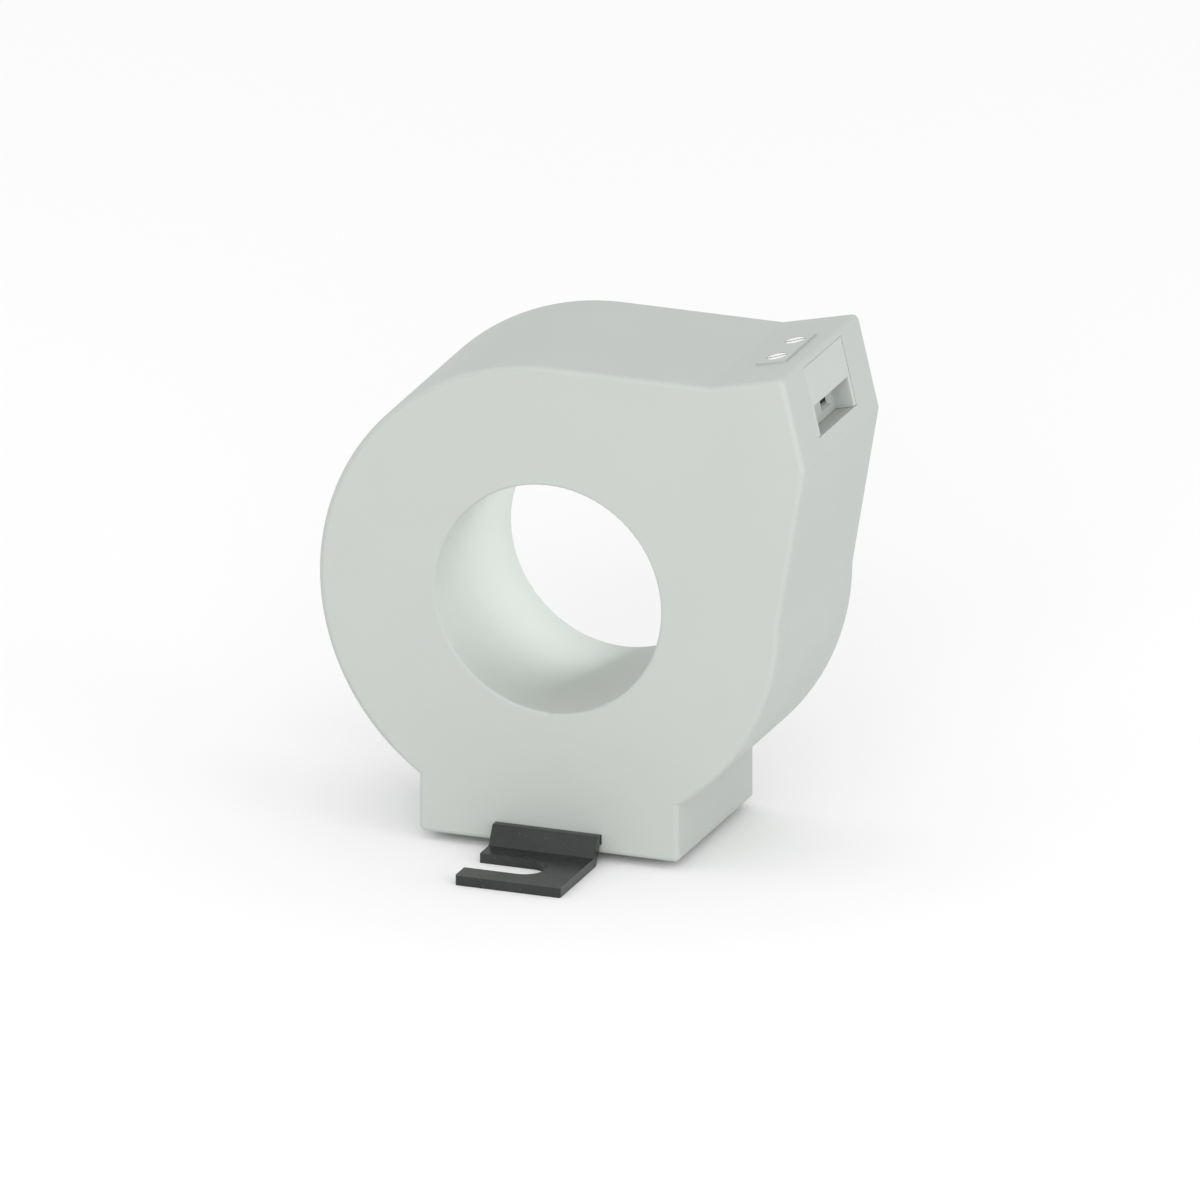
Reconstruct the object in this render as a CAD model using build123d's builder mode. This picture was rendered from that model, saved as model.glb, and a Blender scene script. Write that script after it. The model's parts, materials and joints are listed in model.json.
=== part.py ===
from build123d import *
from math import atan2, cos, degrees, isclose, radians, sin, tan
import os

# Ring-type current transformer. All sizes are in millimetres. The origin is the centre of the
# cable bore at half its depth, +Y runs along the bore, +Z is up and +X points to the terminal.

# Housing
bore_radius = 17.5
ring_width = 18.3
housing_depth = 31.3
wall = 2.0
tube_wall = 2.0
edge_round = 0.8
bore_round = 0.4

# Foot
foot_half_width = 20.2
foot_depth = 2.55
foot_corner_round = 0.8
foot_web = 2.0

# Terminal corner
corner_reach = 0.8
corner_rise = 2.75
terminal_tilt = 13.3
face_length = 14.45
corner_round = 1.0
chin_round = 0.5

# Raised pad with the two screw holes
pad_setback = 3.1
pad_length = 4.8
pad_width = 13.1
pad_height = 0.3
pad_round = 0.6
pad_edge_round = 0.15

# Rear cover
cover_thickness = 2.0
rim = 1.0
cover_gap = 0.08
cover_chamfer = 0.25

# Socket behind the slanted face, which takes the terminal block
socket_width = 15.5
socket_bottom = 11.65
socket_depth = 8.0
socket_wall = 1.3
lip_top = 0.9
lip_depth = 1.0
block_gap = 0.05

# Terminal block
block_depth = 9.7
entry_top = 7.05
entry_depth = 3.0
entry_side_wall = 0.8
web = 0.6
block_round = 0.2
wire_hole_width = 3.0
wire_hole_height = 2.6
wire_hole_flare = 0.4

# Screws, cages and current bars
pole_pitch = 7.5
screw_setback = 5.5
head_radius = 1.5
shank_radius = 1.25
head_rise = 0.25
head_seat = 2.4
seat_web = 0.6
slot_width = 0.5
slot_depth = 0.8
slot_turn = 20.8
tip_chamfer = 0.3
turning_gap = 0.05
sliding_gap = 0.1
clamp_travel = 2.25
cage_length = 3.6
cage_width = 5.0
cage_side = 0.7
cage_roof = 1.2
cage_floor = 1.0
cage_round = 0.5
bar_thickness = 0.8
bar_width = 3.0
pin_width = 1.0
pin_stub = 1.1

# Circuit board and diodes
board_thickness = 1.6
board_top = 2.6
board_bottom = 13.4
board_gap = 0.1
rib_thickness = 1.2
rib_reach = 2.0
pin_hole_radius = 0.75
diode_radius = 1.35
diode_length = 5.2
diode_pitch = 10.16
diode_depth = 4.2
diode_offset = 5.9
diode_lead_radius = 0.35
diode_lift = 0.15
diode_bend = 0.8
diode_bevel = 0.3

# Core, case, winding, tape, screen and cushions
coil_inner_gap = 0.5
coil_outer_gap = 0.6
cushion_thickness = 2.65
core_gap = 0.2
case_wall = 1.2
winding_inner_build = 1.6
winding_outer_build = 1.2
winding_bevel = 0.5
tape_thickness = 0.4
shield_thickness = 0.8
shield_gap = 0.1
shield_end_gap = 1.15
cushion_width = 8.0

# Leads from the winding to the board
lead_radius = 0.6
lead_side_gap = 1.25
lead_angle = 30.0
lead_rise = 1.6
lead_bend = 3.0
lead_stub = 0.8
lead_hole_gap = 0.05

# Brackets
sheet = 1.5
bracket_width = 16.4
tongue_lift = 3.01
tongue_length = 9.0
tongue_gap = 0.1
bracket_step = 2.76
bracket_lean = 30.0
bend_radius = 0.3
crest_round = 0.5
bracket_reach = 16.85
bend_out = 1.35
fixing_slot_width = 6.5
fixing_slot_out = 9.75
bracket_corner_round = 0.4
catch_width = 3.4
catch_length = 2.2
catch_height = 1.0
catch_setback = 5.0
catch_gap = 0.3

# Places and sizes that follow from the above
tilt_cos = cos(radians(terminal_tilt))
tilt_sin = sin(radians(terminal_tilt))
front_y = -housing_depth / 2
rear_y = housing_depth / 2
cavity_front_y = front_y + wall
cavity_rear_y = rear_y - cover_thickness
tube_radius = bore_radius + tube_wall
ring_radius = bore_radius + ring_width
foot_drop = ring_radius + foot_depth
tongue_drop = foot_drop - tongue_lift
corner_x = ring_radius + corner_reach
corner_z = ring_radius + corner_rise
valley_x = corner_x - (corner_z - ring_radius) / tan(radians(terminal_tilt))
chin_x = corner_x + face_length * tilt_sin
chin_z = corner_z - face_length * tilt_cos
tongue_slot_half = bracket_width / 2 + tongue_gap
tongue_slot_height = sheet + tongue_gap
pole_places = [-pole_pitch / 2, pole_pitch / 2]
block_half_width = socket_width / 2 - block_gap
block_top = wall + block_gap
block_bottom = socket_bottom - block_gap
chamber_top = head_seat + seat_web
bar_top = chamber_top + sliding_gap + clamp_travel + cage_roof + sliding_gap
bar_bottom = bar_top + bar_thickness
cage_opening_top = bar_top - sliding_gap
cage_top = cage_opening_top - cage_roof
cage_opening_bottom = bar_bottom + clamp_travel + sliding_gap
board_width = housing_depth - wall - cover_thickness - 2 * board_gap
board_front = block_depth
board_back = block_depth + board_thickness
shield_inner_radius = tube_radius + shield_gap
shield_outer_radius = shield_inner_radius + shield_thickness
shield_length = cavity_rear_y - cavity_front_y - 2 * shield_end_gap
tape_inner_radius = shield_outer_radius + coil_inner_gap
tape_outer_radius = ring_radius - wall - coil_outer_gap
tape_half_height = (cavity_rear_y - cavity_front_y) / 2 - cushion_thickness
winding_inner_radius = tape_inner_radius + tape_thickness
winding_outer_radius = tape_outer_radius - tape_thickness
winding_half_height = tape_half_height - tape_thickness
tape_bevel = winding_bevel + 2 * tape_thickness * (1 - cos(radians(45)))
case_inner_radius = winding_inner_radius + winding_inner_build
case_outer_radius = winding_outer_radius - winding_outer_build
case_half_height = winding_half_height - winding_inner_build
core_inner_radius = case_inner_radius + case_wall + core_gap
core_outer_radius = case_outer_radius - case_wall - core_gap
core_half_height = case_half_height - case_wall - core_gap
coil_mid_radius = (tape_inner_radius + tape_outer_radius) / 2
coil_mid_case = (case_inner_radius + case_outer_radius) / 2
diode_places = [-diode_offset, diode_offset]
diode_hole_places = [y + side * diode_pitch / 2 for y in diode_places for side in (-1, 1)]
diode_axis_depth = board_back + diode_lift + diode_radius
lead_places = [side * (socket_width / 2 + lead_side_gap) for side in (-1, 1)]
corner_out = corner_x * tilt_cos + corner_z * tilt_sin
corner_up = corner_z * tilt_cos - corner_x * tilt_sin
lead_root = winding_outer_radius - lead_radius
lead_knee = tape_outer_radius + lead_rise
lead_height = lead_knee * sin(radians(lead_angle)) - corner_up
coil_y = (cavity_front_y + cavity_rear_y) / 2
base_drop = tongue_drop + bracket_step
lean_out = bracket_step * tan(radians(bracket_lean))
fold_shift = sheet * tan(radians((90 - bracket_lean) / 2))
upper_bend = (front_y - bend_out, -tongue_drop)
upper_inside = (front_y - bend_out + fold_shift, -tongue_drop - sheet)
lower_inside = (front_y - bend_out - lean_out, -base_drop)
lower_bend = (front_y - bend_out - lean_out + fold_shift, -base_drop - sheet)
bracket_bends = [
    (upper_bend, crest_round),
    (lower_bend, crest_round),
    (upper_inside, bend_radius),
    (lower_inside, bend_radius),
]

# The ramp frame lies on the ramp, with its origin at the middle of the top corner edge: local x
# points out of the terminal face, local y along the bore and local z out of the ramp. The entry
# frame lies on the slanted face: local x runs along the bore and local y up the face.
corner_point = (corner_x, 0, corner_z)
ramp_frame = Plane(origin=corner_point, x_dir=(tilt_cos, 0, tilt_sin), z_dir=(-tilt_sin, 0, tilt_cos))
entry_frame = Plane(origin=corner_point, x_dir=(0, 1, 0), z_dir=(tilt_cos, 0, tilt_sin))
exit_direction = (cos(radians(terminal_tilt + lead_angle)), 0, sin(radians(terminal_tilt + lead_angle)))
exit_frame = Plane(origin=(0, 0, 0), x_dir=(0, 1, 0), z_dir=exit_direction)
face_axis = Axis(corner_point, (tilt_cos, 0, tilt_sin))
ramp_axis = Axis(corner_point, (-tilt_sin, 0, tilt_cos))
hanging = (Align.CENTER, Align.MAX)


def depth_plane(y):
    """The upright plane at depth y, with local x to the right and local y up, facing the viewer."""
    return Plane.XZ.offset(-y)


def ring_outline(margin):
    """The ring with its terminal corner, without the foot, drawn in by a margin."""
    with BuildSketch() as outline:
        with BuildLine():
            Polyline(
                (0, ring_radius),
                (valley_x, ring_radius),
                (corner_x, corner_z),
                (chin_x, chin_z),
                (ring_radius, 0),
            )
            CenterArc((0, 0), ring_radius, 90, 270)
        make_face()
        if margin > 0:
            offset(amount=-margin, kind=Kind.INTERSECTION)
    return outline.sketch


def foot_outline(margin):
    """The foot below the ring's centre, drawn in by a margin."""
    with BuildSketch() as outline:
        Rectangle(2 * (foot_half_width - margin), foot_drop - margin, align=hanging)
    return outline.sketch


def ring_section(inner_radius, outer_radius, half_height, shift):
    """The section of a ring round the bore, to be turned about the Y axis."""
    with BuildSketch() as section:
        with Locations(((inner_radius + outer_radius) / 2, shift)):
            Rectangle(outer_radius - inner_radius, 2 * half_height)
    return section.sketch


ring_outer = ring_outline(0)
ring_inner = ring_outline(wall)
foot_outer = foot_outline(0)
rebate_ring = ring_outline(rim)
rebate_foot = foot_outline(rim)
cover_ring = ring_outline(rim + cover_gap)
cover_foot = foot_outline(rim + cover_gap)

# Housing shell: front wall, rim, bore tube, foot and terminal corner in one moulding.
with BuildPart() as housing_shell:
    with BuildSketch(depth_plane(front_y)) as shell_profile:
        add(ring_outer)
        add(foot_outer)
        corners = shell_profile.vertices()
        fillet(corners.sort_by_distance((corner_x, corner_z))[0], corner_round)
        fillet(shell_profile.vertices().sort_by_distance((chin_x, chin_z))[0], chin_round)
        fillet(shell_profile.vertices().group_by(Axis.Y)[0], foot_corner_round)
    extrude(amount=-housing_depth)
    outer_loops = [
        housing_shell.faces().sort_by(Axis.Y)[place].outer_wire().edges() for place in (0, -1)
    ]
    fillet(outer_loops[0] + outer_loops[1], edge_round)

    # The ring-shaped room for the coil, with the terminal corner
    with BuildSketch(depth_plane(cavity_front_y)):
        add(ring_inner)
        Circle(tube_radius, mode=Mode.SUBTRACT)
    extrude(amount=-housing_depth, mode=Mode.SUBTRACT)

    # Pockets beside the bracket slot keep the foot's walls even
    with BuildSketch(depth_plane(cavity_front_y)):
        add(foot_outline(wall))
        Circle(ring_radius, mode=Mode.SUBTRACT)
        Rectangle(2 * (tongue_slot_half + foot_web), 2 * foot_drop, mode=Mode.SUBTRACT)
    extrude(amount=-housing_depth, mode=Mode.SUBTRACT)

    # Socket for the terminal block: a duct that hangs from the ramp wall
    with BuildSketch(entry_frame.offset(-wall / 2)):
        with Locations((0, -wall / 2)):
            Rectangle(
                socket_width + 2 * socket_wall,
                socket_bottom + socket_wall - wall / 2,
                align=hanging,
            )
    extrude(amount=wall / 2 - socket_depth)
    with BuildSketch(entry_frame):
        with Locations((0, -wall)):
            Rectangle(socket_width, socket_bottom - wall, align=hanging)
    extrude(amount=-2 * socket_depth, mode=Mode.SUBTRACT)
    with BuildSketch(entry_frame):
        with Locations((0, -lip_top)):
            Rectangle(socket_width, socket_bottom - lip_top, align=hanging)
    extrude(amount=-lip_depth, mode=Mode.SUBTRACT)

    # Ribs on the front wall that hold the board's edge
    with BuildSketch(depth_plane(cavity_front_y)):
        with Locations((corner_x, corner_z)):
            with Locations(Rotation(0, 0, terminal_tilt)):
                for rib_x in (-board_back - board_gap - rib_thickness, -board_front + board_gap):
                    with Locations((rib_x, -wall)):
                        Rectangle(rib_thickness, board_bottom - wall, align=(Align.MIN, Align.MAX))
    extrude(amount=-rib_reach)

    # Raised pad and the screws' access holes
    with BuildSketch(ramp_frame):
        with Locations((-pad_setback - pad_length / 2, 0)):
            RectangleRounded(pad_length, pad_width, pad_round)
    extrude(amount=pad_height)
    fillet(housing_shell.faces().sort_by(ramp_axis)[-1].outer_wire().edges(), pad_edge_round)
    with BuildSketch(ramp_frame.offset(pad_height)):
        for pole_y in pole_places:
            with Locations((-screw_setback, pole_y)):
                Circle(head_radius + turning_gap)
    extrude(amount=-(pad_height + wall), mode=Mode.SUBTRACT)

    # Rebate for the rear cover, which leaves the rim and the end of the bore tube standing
    with BuildSketch(depth_plane(rear_y)):
        add(rebate_ring)
        add(rebate_foot)
        Circle(bore_radius + rim, mode=Mode.SUBTRACT)
    extrude(amount=cover_thickness, mode=Mode.SUBTRACT)

    # Slot through the foot for both bracket tongues, with a catch for each
    with BuildSketch(depth_plane(front_y)):
        with Locations((0, -tongue_drop)):
            Rectangle(2 * tongue_slot_half, tongue_slot_height, align=hanging)
    extrude(amount=-housing_depth, mode=Mode.SUBTRACT)
    with BuildSketch(Plane.YZ):
        for side in (-1, 1):
            with Locations((side * (housing_depth / 2 - catch_setback), -tongue_drop)):
                Polygon(
                    (-side * catch_length / 2, 0),
                    (side * catch_length / 2, 0),
                    (-side * catch_length / 4, -catch_height),
                    (-side * catch_length / 2, -catch_height),
                    align=None,
                )
    extrude(amount=catch_width / 2, both=True)

    # The bore
    with BuildSketch(depth_plane(front_y)):
        Circle(bore_radius)
    extrude(amount=-housing_depth, mode=Mode.SUBTRACT)
    bore_edges = housing_shell.edges().filter_by(GeomType.CIRCLE).filter_by(
        lambda edge: isclose(edge.radius, bore_radius)
    )
    fillet(bore_edges, bore_round)
housing_shell.part.label = "housing_shell"

# Rear cover: a flat plate in the rebate, with its own slot for the rear bracket.
with BuildPart() as rear_cover:
    with BuildSketch(depth_plane(rear_y)):
        add(cover_ring)
        add(cover_foot)
        Circle(bore_radius + rim + cover_gap, mode=Mode.SUBTRACT)
        with Locations((0, -tongue_drop)):
            Rectangle(2 * tongue_slot_half, tongue_slot_height, align=hanging, mode=Mode.SUBTRACT)
    extrude(amount=cover_thickness)
    chamfer(rear_cover.faces().sort_by(Axis.Y)[-1].outer_wire().edges(), cover_chamfer)
    with BuildSketch(depth_plane(cavity_rear_y)):
        with Locations((corner_x, corner_z)):
            with Locations(Rotation(0, 0, terminal_tilt)):
                for rib_x in (-board_back - board_gap - rib_thickness, -board_front + board_gap):
                    with Locations((rib_x, -board_top)):
                        Rectangle(rib_thickness, board_bottom - board_top, align=(Align.MIN, Align.MAX))
    extrude(amount=rib_reach)
rear_cover.part.label = "rear_cover"

# Terminal block: slides into the socket from outside, flush with the slanted face.
with BuildPart() as terminal_block:
    with BuildSketch(entry_frame):
        with Locations((0, -block_top)):
            Rectangle(2 * block_half_width, block_bottom - block_top, align=hanging)
    extrude(amount=-block_depth)
    with BuildSketch(entry_frame):
        with Locations((0, -lip_top - block_gap)):
            Rectangle(2 * block_half_width, block_bottom - lip_top - block_gap, align=hanging)
    extrude(amount=-(lip_depth - block_gap))

    # Wire entry, open at the bottom, where the socket's floor closes it
    with BuildSketch(entry_frame):
        with Locations((0, -entry_top)):
            Rectangle(2 * (block_half_width - entry_side_wall), block_bottom, align=hanging)
    extrude(amount=-entry_depth, mode=Mode.SUBTRACT)
    fillet(terminal_block.faces().sort_by(face_axis)[-1].outer_wire().edges(), block_round)

    # A flared hole for each wire
    with BuildSketch(entry_frame.offset(-entry_depth)):
        for pole_y in pole_places:
            with Locations((pole_y, -bar_bottom + wire_hole_flare)):
                Rectangle(
                    wire_hole_width + 2 * wire_hole_flare,
                    wire_hole_height + 2 * wire_hole_flare,
                    align=hanging,
                )
    extrude(amount=-web, taper=degrees(atan2(wire_hole_flare, web)), mode=Mode.SUBTRACT)

    # A chamber for each cage, open below, and a slot for its current bar
    with BuildSketch(ramp_frame.offset(-chamber_top)):
        for pole_y in pole_places:
            with Locations((-screw_setback, pole_y)):
                Rectangle(cage_length + 2 * sliding_gap, cage_width + 2 * sliding_gap)
    extrude(amount=-block_bottom, mode=Mode.SUBTRACT)
    with BuildSketch(entry_frame.offset(-screw_setback)):
        for pole_y in pole_places:
            with Locations((pole_y, -bar_top + turning_gap)):
                Rectangle(bar_width + 2 * turning_gap, bar_thickness + 2 * turning_gap, align=hanging)
    extrude(amount=-block_depth, mode=Mode.SUBTRACT)

    # A seat for each screw's head and a hole for its shank
    with BuildSketch(ramp_frame):
        for pole_y in pole_places:
            with Locations((-screw_setback, pole_y)):
                Circle(head_radius + turning_gap)
    extrude(amount=-head_seat, mode=Mode.SUBTRACT)
    with BuildSketch(ramp_frame):
        for pole_y in pole_places:
            with Locations((-screw_setback, pole_y)):
                Circle(shank_radius + turning_gap)
    extrude(amount=-(chamber_top + sliding_gap), mode=Mode.SUBTRACT)
terminal_block.part.label = "terminal_block"

# Circuit board: stands behind the terminal block, in the ribs of shell and cover.
with BuildPart() as circuit_board:
    with BuildSketch(entry_frame.offset(-board_front)):
        with Locations((0, -board_top)):
            Rectangle(board_width, board_bottom - board_top, align=hanging)
    extrude(amount=-board_thickness)
    with BuildSketch(entry_frame.offset(-board_front)):
        for pole_y in pole_places:
            with Locations((pole_y, -(bar_top + bar_bottom) / 2)):
                Circle(pin_hole_radius)
        for lead_y in lead_places:
            with Locations((lead_y, lead_height)):
                Circle(lead_radius + lead_hole_gap)
        for hole_y in diode_hole_places:
            with Locations((hole_y, -diode_depth)):
                Circle(diode_lead_radius + lead_hole_gap)
    extrude(amount=-board_thickness, mode=Mode.SUBTRACT)
circuit_board.part.label = "circuit_board"

pieces = [housing_shell, rear_cover, terminal_block, circuit_board]

# Screws, cages and current bars, one set for each pole.
for number, pole_y in enumerate(pole_places, start=1):
    with BuildPart() as terminal_screw:
        with BuildSketch(ramp_frame.offset(head_rise)):
            with Locations((-screw_setback, pole_y)):
                Circle(head_radius)
        extrude(amount=-(head_rise + head_seat))
        with BuildSketch(ramp_frame.offset(-head_seat)):
            with Locations((-screw_setback, pole_y)):
                Circle(shank_radius)
        extrude(amount=-(bar_top - turning_gap - head_seat))
        chamfer(terminal_screw.faces().sort_by(ramp_axis)[0].edges(), tip_chamfer)
        with BuildSketch(ramp_frame.offset(head_rise)):
            with Locations((-screw_setback, pole_y)):
                Rectangle(4 * head_radius, slot_width, rotation=slot_turn)
        extrude(amount=-slot_depth, mode=Mode.SUBTRACT)
    terminal_screw.part.label = f"terminal_screw_{number}"

    with BuildPart() as clamp_cage:
        with BuildSketch(ramp_frame.offset(-cage_top)):
            with Locations((-screw_setback, pole_y)):
                Rectangle(cage_length, cage_width)
        extrude(amount=-(cage_opening_bottom + cage_floor - cage_top))
        fillet(clamp_cage.edges().filter_by(face_axis), cage_round)
        with BuildSketch(entry_frame):
            with Locations((pole_y, -cage_opening_top)):
                Rectangle(
                    cage_width - 2 * cage_side,
                    cage_opening_bottom - cage_opening_top,
                    align=hanging,
                )
        extrude(amount=-2 * block_depth, mode=Mode.SUBTRACT)
        with BuildSketch(ramp_frame.offset(-cage_top)):
            with Locations((-screw_setback, pole_y)):
                Circle(shank_radius + turning_gap)
        extrude(amount=-cage_roof, mode=Mode.SUBTRACT)
    clamp_cage.part.label = f"clamp_cage_{number}"

    with BuildPart() as current_bar:
        bar_front = screw_setback - cage_length / 2 - sliding_gap
        with BuildSketch(entry_frame.offset(-bar_front)):
            with Locations((pole_y, -bar_top)):
                Rectangle(bar_width, bar_thickness, align=hanging)
        extrude(amount=-(board_front - bar_front))
        with BuildSketch(entry_frame.offset(-board_front)):
            with Locations((pole_y, -bar_top)):
                Rectangle(pin_width, bar_thickness, align=hanging)
        extrude(amount=-(board_thickness + pin_stub))
    current_bar.part.label = f"current_bar_{number}"
    pieces += [terminal_screw, clamp_cage, current_bar]

# Suppressor diodes: round bodies with bent wire ends, on the board's inner side.
for number, diode_y in enumerate(diode_places, start=1):
    with BuildPart() as suppressor_diode:
        body_plane = Plane(
            origin=entry_frame.from_local_coords((diode_y, -diode_depth, -diode_axis_depth)),
            x_dir=entry_frame.z_dir,
            z_dir=entry_frame.x_dir,
        )
        with BuildSketch(body_plane.offset(-diode_length / 2)):
            Circle(diode_radius)
        extrude(amount=diode_length)
        chamfer(suppressor_diode.edges().filter_by(GeomType.CIRCLE), diode_bevel)
        wire_plane = Plane(body_plane.origin, x_dir=entry_frame.x_dir, z_dir=entry_frame.y_dir)
        with BuildLine(wire_plane) as wire_path:
            FilletPolyline(
                (-diode_pitch / 2, board_front - diode_axis_depth),
                (-diode_pitch / 2, 0),
                (diode_pitch / 2, 0),
                (diode_pitch / 2, board_front - diode_axis_depth),
                radius=diode_bend,
            )
        with BuildSketch(Plane(origin=wire_path.line @ 0, z_dir=wire_path.line % 0)):
            Circle(diode_lead_radius)
        sweep(path=wire_path.line)
    suppressor_diode.part.label = f"suppressor_diode_{number}"
    pieces.append(suppressor_diode)

# Toroidal core: a ring wound from soft magnetic strip.
with BuildPart() as toroidal_core:
    with BuildSketch():
        add(ring_section(core_inner_radius, core_outer_radius, core_half_height, coil_y))
    revolve(axis=Axis.Y)
toroidal_core.part.label = "toroidal_core"

# Core case: a trough for the core and a lid with a locating lip.
with BuildPart() as core_case_base:
    with BuildSketch():
        add(ring_section(case_inner_radius, case_outer_radius, case_half_height, coil_y))
        with Locations((coil_mid_case, coil_y + case_wall)):
            Rectangle(
                case_outer_radius - case_inner_radius - 2 * case_wall,
                2 * case_half_height,
                mode=Mode.SUBTRACT,
            )
        with Locations((coil_mid_case, coil_y + case_half_height)):
            Rectangle(2 * case_outer_radius, 2 * case_wall, mode=Mode.SUBTRACT)
    revolve(axis=Axis.Y)
core_case_base.part.label = "core_case_base"

with BuildPart() as core_case_lid:
    with BuildSketch():
        add(
            ring_section(
                case_inner_radius,
                case_outer_radius,
                case_wall / 2,
                coil_y + case_half_height - case_wall / 2,
            )
        )
    revolve(axis=Axis.Y)
core_case_lid.part.label = "core_case_lid"

# Secondary winding: many turns of enamelled wire, closely laid round the case.
with BuildPart() as secondary_winding:
    with BuildSketch() as winding_envelope:
        add(ring_section(winding_inner_radius, winding_outer_radius, winding_half_height, coil_y))
        chamfer(winding_envelope.vertices(), winding_bevel)
    revolve(axis=Axis.Y)
    with BuildSketch():
        add(ring_section(case_inner_radius, case_outer_radius, case_half_height, coil_y))
    revolve(axis=Axis.Y, mode=Mode.SUBTRACT)
secondary_winding.part.label = "secondary_winding"

# Winding wrap: tape over the winding, with a hole for each lead.
with BuildPart() as winding_wrap:
    with BuildSketch() as wrap_envelope:
        add(ring_section(tape_inner_radius, tape_outer_radius, tape_half_height, coil_y))
        chamfer(wrap_envelope.vertices(), tape_bevel)
    revolve(axis=Axis.Y)
    with BuildSketch():
        add(winding_envelope.sketch)
    revolve(axis=Axis.Y, mode=Mode.SUBTRACT)
    with BuildSketch(exit_frame.offset(winding_outer_radius - tape_thickness)):
        for lead_y in lead_places:
            with Locations((lead_y, 0)):
                Circle(lead_radius + lead_hole_gap)
    extrude(amount=3 * tape_thickness, mode=Mode.SUBTRACT)
winding_wrap.part.label = "winding_wrap"

# Shield ring: a sleeve of soft magnetic sheet on the bore tube.
with BuildPart() as shield_ring:
    with BuildSketch():
        add(ring_section(shield_inner_radius, shield_outer_radius, shield_length / 2, coil_y))
    revolve(axis=Axis.Y)
shield_ring.part.label = "shield_ring"

# Cushions: foam rings that hold the coil between the front wall and the cover.
with BuildPart() as front_cushion:
    with BuildSketch(depth_plane(cavity_front_y)):
        Circle(coil_mid_radius + cushion_width / 2)
        Circle(coil_mid_radius - cushion_width / 2, mode=Mode.SUBTRACT)
    extrude(amount=-cushion_thickness)
front_cushion.part.label = "front_cushion"

with BuildPart() as rear_cushion:
    with BuildSketch(depth_plane(cavity_rear_y)):
        Circle(coil_mid_radius + cushion_width / 2)
        Circle(coil_mid_radius - cushion_width / 2, mode=Mode.SUBTRACT)
    extrude(amount=cushion_thickness)
rear_cushion.part.label = "rear_cushion"
pieces += [toroidal_core, core_case_base, core_case_lid, secondary_winding, winding_wrap]
pieces += [shield_ring, front_cushion, rear_cushion]

# Leads: from the winding's ends, out through the tape and into the board.
for number, lead_y in enumerate(lead_places, start=1):
    with BuildPart() as lead_wire:
        lead_plane = Plane(origin=(0, lead_y, 0), x_dir=entry_frame.z_dir, z_dir=(0, -1, 0))
        with BuildLine(lead_plane) as lead_path:
            FilletPolyline(
                (lead_root * cos(radians(lead_angle)), lead_root * sin(radians(lead_angle))),
                (lead_knee * cos(radians(lead_angle)), lead_knee * sin(radians(lead_angle))),
                (corner_out - board_front + lead_stub, lead_knee * sin(radians(lead_angle))),
                radius=lead_bend,
            )
        with BuildSketch(Plane(origin=lead_path.line @ 0, z_dir=lead_path.line % 0)):
            Circle(lead_radius)
        sweep(path=lead_path.line)
        with BuildSketch(depth_plane(0)):
            Circle(winding_outer_radius)
        extrude(amount=housing_depth, both=True, mode=Mode.SUBTRACT)
    lead_wire.part.label = f"lead_wire_{number}"
    pieces.append(lead_wire)

# Front bracket: one folded sheet. Its tongue enters the foot, and its base has an open slot.
with BuildPart() as front_bracket:
    with BuildSketch(Plane.YZ) as fold:
        with BuildLine():
            Polyline(
                (front_y + tongue_length, -tongue_drop),
                upper_bend,
                lower_inside,
                (front_y - bracket_reach, -base_drop),
                (front_y - bracket_reach, -base_drop - sheet),
                lower_bend,
                upper_inside,
                (front_y + tongue_length, -tongue_drop - sheet),
                close=True,
            )
        make_face()
        for bend_point, radius in bracket_bends:
            fillet(fold.vertices().sort_by_distance(bend_point)[0], radius)
    extrude(amount=bracket_width / 2, both=True)
    fillet(front_bracket.edges().filter_by(Axis.Z), bracket_corner_round)
    with BuildSketch(Plane.XY.offset(-base_drop)):
        with Locations((0, front_y - fixing_slot_out)):
            Circle(fixing_slot_width / 2)
            Rectangle(bracket_width, fixing_slot_width, align=(Align.MAX, Align.CENTER))
    extrude(amount=-sheet, mode=Mode.SUBTRACT)
    with BuildSketch(Plane.XY.offset(-tongue_drop)):
        with Locations((0, front_y + catch_setback)):
            Rectangle(catch_width + 2 * catch_gap, catch_length + 2 * catch_gap)
    extrude(amount=-sheet, mode=Mode.SUBTRACT)
front_bracket.part.label = "front_bracket"

# Rear bracket: the same sheet part, turned half round.
with BuildPart() as rear_bracket:
    add(front_bracket.part, rotation=(0, 0, 180))
rear_bracket.part.label = "rear_bracket"
pieces += [front_bracket, rear_bracket]

os.makedirs("parts", exist_ok=True)
for piece in pieces:
    print(piece.part.label, len(piece.part.solids()), round(piece.part.volume, 1), piece.part.is_valid)
    export_step(piece.part, f"parts/{piece.part.label}.step")
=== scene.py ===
import json
import logging
from dataclasses import dataclass
from enum import Enum
from math import atan2, cos, pi, radians, sin
from typing import Any, Dict, List, Optional, Sequence, Tuple, Union

import bpy
import numpy as np
from mathutils import Matrix, Vector


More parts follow.
